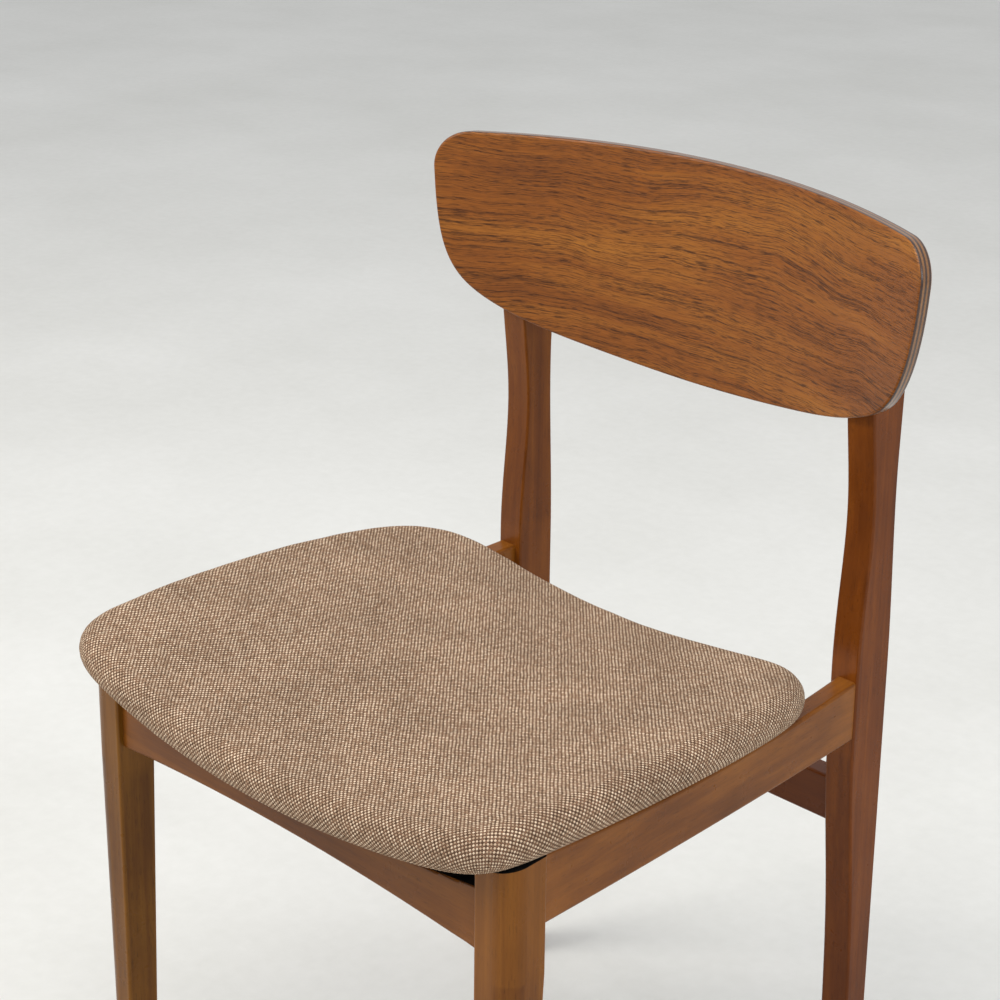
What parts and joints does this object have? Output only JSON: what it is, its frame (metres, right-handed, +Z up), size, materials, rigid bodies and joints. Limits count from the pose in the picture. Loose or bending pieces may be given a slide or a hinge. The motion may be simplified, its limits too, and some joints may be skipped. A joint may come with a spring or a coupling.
{
  "type": "dining chair",
  "caption": "Dining chair with a saddle-shaped upholstered seat, a curved plywood backrest, tapered wooden legs and a low rear stretcher.",
  "frame": {"origin": "on the floor, under the centre of the chair's bounding box", "axes": "+Z up; the chair faces -Y; +X is the left-hand side of someone sitting in it"},
  "size_m": [0.5012, 0.4858, 0.7729],
  "materials": {
    "wood": "stained, satin lacquer",
    "veneer": "stained veneer, satin lacquer",
    "plywood": "ply edges, lacquered",
    "black_wood": "black paint, matt",
    "dowel_wood": "plain beech",
    "foam": "soft foam",
    "fabric": "two-tone basket weave",
    "dust_cloth": "thin black cloth",
    "zinc_steel": "zinc plated",
    "nylon": "moulded, matt"
  },
  "bodies": {
    "root": {"backrest_back_veneer": "veneer", "backrest_cross_plies": "plywood", "backrest_face_veneer": "veneer", "backrest_long_plies": "plywood", "backrest_plugs": "wood", "backrest_screws": "zinc_steel", "cleat_screws": "zinc_steel", "corner_block_screws": "zinc_steel", "dust_cover": "dust_cloth", "front_corner_block_left": "black_wood", "front_corner_block_right": "black_wood", "front_leg_left": "wood", "front_leg_right": "wood", "front_rail": "wood", "front_rail_dowels": "dowel_wood", "glide_front_left": "nylon", "glide_front_right": "nylon", "glide_nails": "zinc_steel", "glide_rear_left": "nylon", "glide_rear_right": "nylon", "rear_post_left": "wood", "rear_post_right": "wood", "rear_rail": "wood", "rear_rail_dowels": "dowel_wood", "rear_seat_cleat_left": "black_wood", "rear_seat_cleat_right": "black_wood", "seat_board": "plywood", "seat_cover": "fabric", "seat_foam": "foam", "seat_screw_washers": "zinc_steel", "seat_screws": "zinc_steel", "seat_staples": "zinc_steel", "seat_tee_nuts": "zinc_steel", "side_rail_front_dowels": "dowel_wood", "side_rail_left": "wood", "side_rail_rear_dowels": "dowel_wood", "side_rail_right": "wood"}
  },
  "joints": []
}
